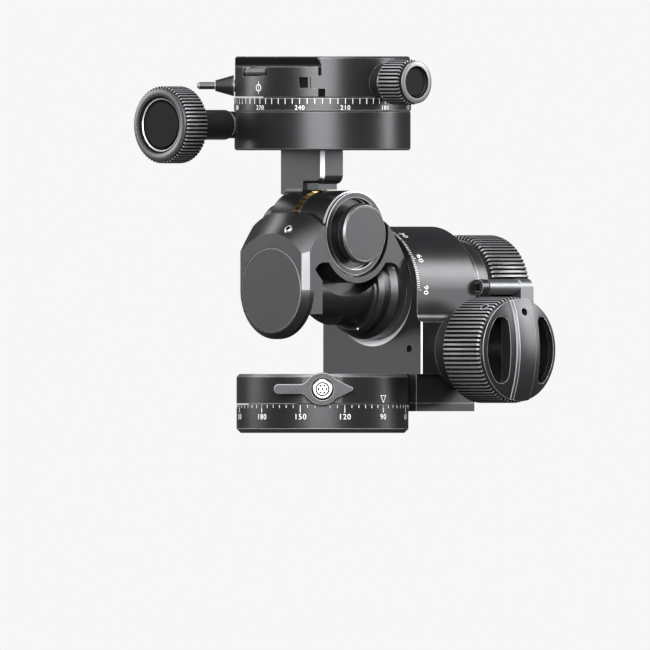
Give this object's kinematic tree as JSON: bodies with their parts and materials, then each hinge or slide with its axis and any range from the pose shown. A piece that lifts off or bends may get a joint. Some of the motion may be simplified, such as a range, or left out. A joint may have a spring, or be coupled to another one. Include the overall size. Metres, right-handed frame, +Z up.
{
  "type": "geared tripod head",
  "caption": "Geared camera head with a turning pan base, two worm-driven tilt axes with fluted knobs, and a geared rotating clamp for a dovetail plate.",
  "frame": {"origin": "centre of the mounting face at the mouth of the tripod socket", "axes": "+Z up through the pan axis, +X towards the gear knob of the first tilt, -Y towards the round cover on the end of the cradle"},
  "size_m": [0.0901, 0.1366, 0.127],
  "materials": {
    "black_body": "sand-blasted black anodised with bright machined edges",
    "black_knob": "fluted black anodised",
    "insert": "fine blasted blue-grey anodised",
    "brass": "machined",
    "steel": "turned",
    "washer": "plain",
    "vial": "clear greenish",
    "vial_end": "plain"
  },
  "bodies": {
    "base": {"base_ring": "black_body", "pan_spindle": "steel", "tripod_bush": "brass", "pan_nut": "steel", "thrust_washer": "washer"},
    "pan": {"pan_body": "black_body", "pan_bush": "brass", "pan_cap": "black_body", "tilt_housing": "black_body", "bottom_cover": "black_body", "cover_screws": "steel", "rear_cover": "black_body", "worm_1_carrier": "black_body", "worm_1_bush": "brass"},
    "pan_lock": {"pan_lever": "black_body", "pan_lever_screw": "steel"},
    "gear_knob_1": {"worm_1": "steel", "knob_1": "black_knob"},
    "knob_release": {"knob_1_grip": "black_knob"},
    "tilt_lock": {"tilt_lock_rod": "black_body", "tilt_lock_tab": "black_body"},
    "cradle": {"drum_1": "black_body", "worm_wheel_1": "brass", "drum_retainer": "steel", "worm_2_bush": "brass", "cradle": "black_body", "front_cover": "insert", "cradle_screws": "steel", "cradle_setscrew": "steel"},
    "gear_knob_2": {"worm_2": "steel", "knob_2": "black_knob", "knob_2_insert": "insert"},
    "yoke": {"yoke": "black_body", "worm_wheel_2": "brass", "yoke_drum": "black_body", "yoke_axle": "steel", "axle_cap_right": "black_body", "axle_cap_left": "black_body", "rotator_base": "black_body", "stem_screw": "steel", "scale_ring": "black_body", "rotator_post": "steel", "rotator_nut": "steel", "worm_3_sleeve": "black_body"},
    "rotator_drive": {"worm_3": "steel", "rotator_knob": "black_knob", "rotator_knob_insert": "insert"},
    "clamp": {"rotator_hub": "black_body", "worm_wheel_3": "brass", "clamp_base": "black_body", "level_vial": "vial", "level_ends": "vial_end", "guide_pins": "steel"},
    "rotator_lock": {"rotator_lock": "black_body"},
    "jaw": {"clamp_jaw": "black_body"},
    "clamp_knob": {"clamp_screw": "steel", "clamp_knob": "black_knob", "clamp_knob_insert": "insert"}
  },
  "joints": [
    {"name": "pan_turn", "type": "hinge", "parent": "base", "child": "pan", "pos_m": [0, 0, 0], "axis": [0, 0, 1], "continuous": true},
    {"name": "pan_lock_turn", "type": "hinge", "parent": "pan", "child": "pan_lock", "pos_m": [0, 0, 0.0148], "axis": [0.7071, -0.7071, 0], "range_deg": [-20, 60]},
    {"name": "tilt_1", "type": "hinge", "parent": "pan", "child": "cradle", "pos_m": [0, 0, 0.0482], "axis": [0, 1, 0], "range_deg": [-90, 30]},
    {"name": "gear_knob_1_turn", "type": "hinge", "parent": "pan", "child": "gear_knob_1", "pos_m": [0, 0.0435, 0.028], "axis": [1, 0, 0], "range_deg": [-3780.5, 1260.5]},
    {"name": "knob_release_turn", "type": "hinge", "parent": "gear_knob_1", "child": "knob_release", "pos_m": [0, 0.0435, 0.028], "axis": [1, 0, 0], "range_deg": [0, 45], "stiffness_Nm_per_rad": 0.05},
    {"name": "tilt_lock_turn", "type": "hinge", "parent": "pan", "child": "tilt_lock", "pos_m": [0.0224, 0, 0.0492], "axis": [0, 1, 0], "range_deg": [-40, 0]},
    {"name": "tilt_2", "type": "hinge", "parent": "cradle", "child": "yoke", "pos_m": [0, 0, 0.06725], "axis": [1, 0, 0], "range_deg": [-30, 35]},
    {"name": "gear_knob_2_turn", "type": "hinge", "parent": "cradle", "child": "gear_knob_2", "pos_m": [0, 0, 0.0482], "axis": [0, 1, 0], "range_deg": [-1400.5, 1200.5]},
    {"name": "rotator_turn", "type": "hinge", "parent": "yoke", "child": "clamp", "pos_m": [0, 0, 0], "axis": [0, 0, 1], "continuous": true},
    {"name": "rotator_drive_turn", "type": "hinge", "parent": "yoke", "child": "rotator_drive", "pos_m": [-0.02225, 0, 0.1039], "axis": [0, 1, 0], "continuous": true},
    {"name": "rotator_lock_turn", "type": "hinge", "parent": "clamp", "child": "rotator_lock", "pos_m": [0, 0, 0.1171], "axis": [-0.7071, -0.7071, 0], "range_deg": [-90, 90]},
    {"name": "jaw_slide", "type": "slide", "parent": "clamp", "child": "jaw", "axis": [1, 0, 0], "range_m": [0, 0.004]},
    {"name": "clamp_knob_turn", "type": "hinge", "parent": "jaw", "child": "clamp_knob", "pos_m": [0, 0, 0.1183], "axis": [1, 0, 0], "range_deg": [0, 1440.5]}
  ],
  "couplings": [
    {"joint": "gear_knob_1_turn", "follows": "tilt_1", "ratio": 42},
    {"joint": "gear_knob_2_turn", "follows": "tilt_2", "ratio": -40},
    {"joint": "rotator_drive_turn", "follows": "rotator_turn", "ratio": 74},
    {"joint": "clamp_knob_turn", "follows": "jaw_slide", "rad_per_m": 6283.2}
  ]
}
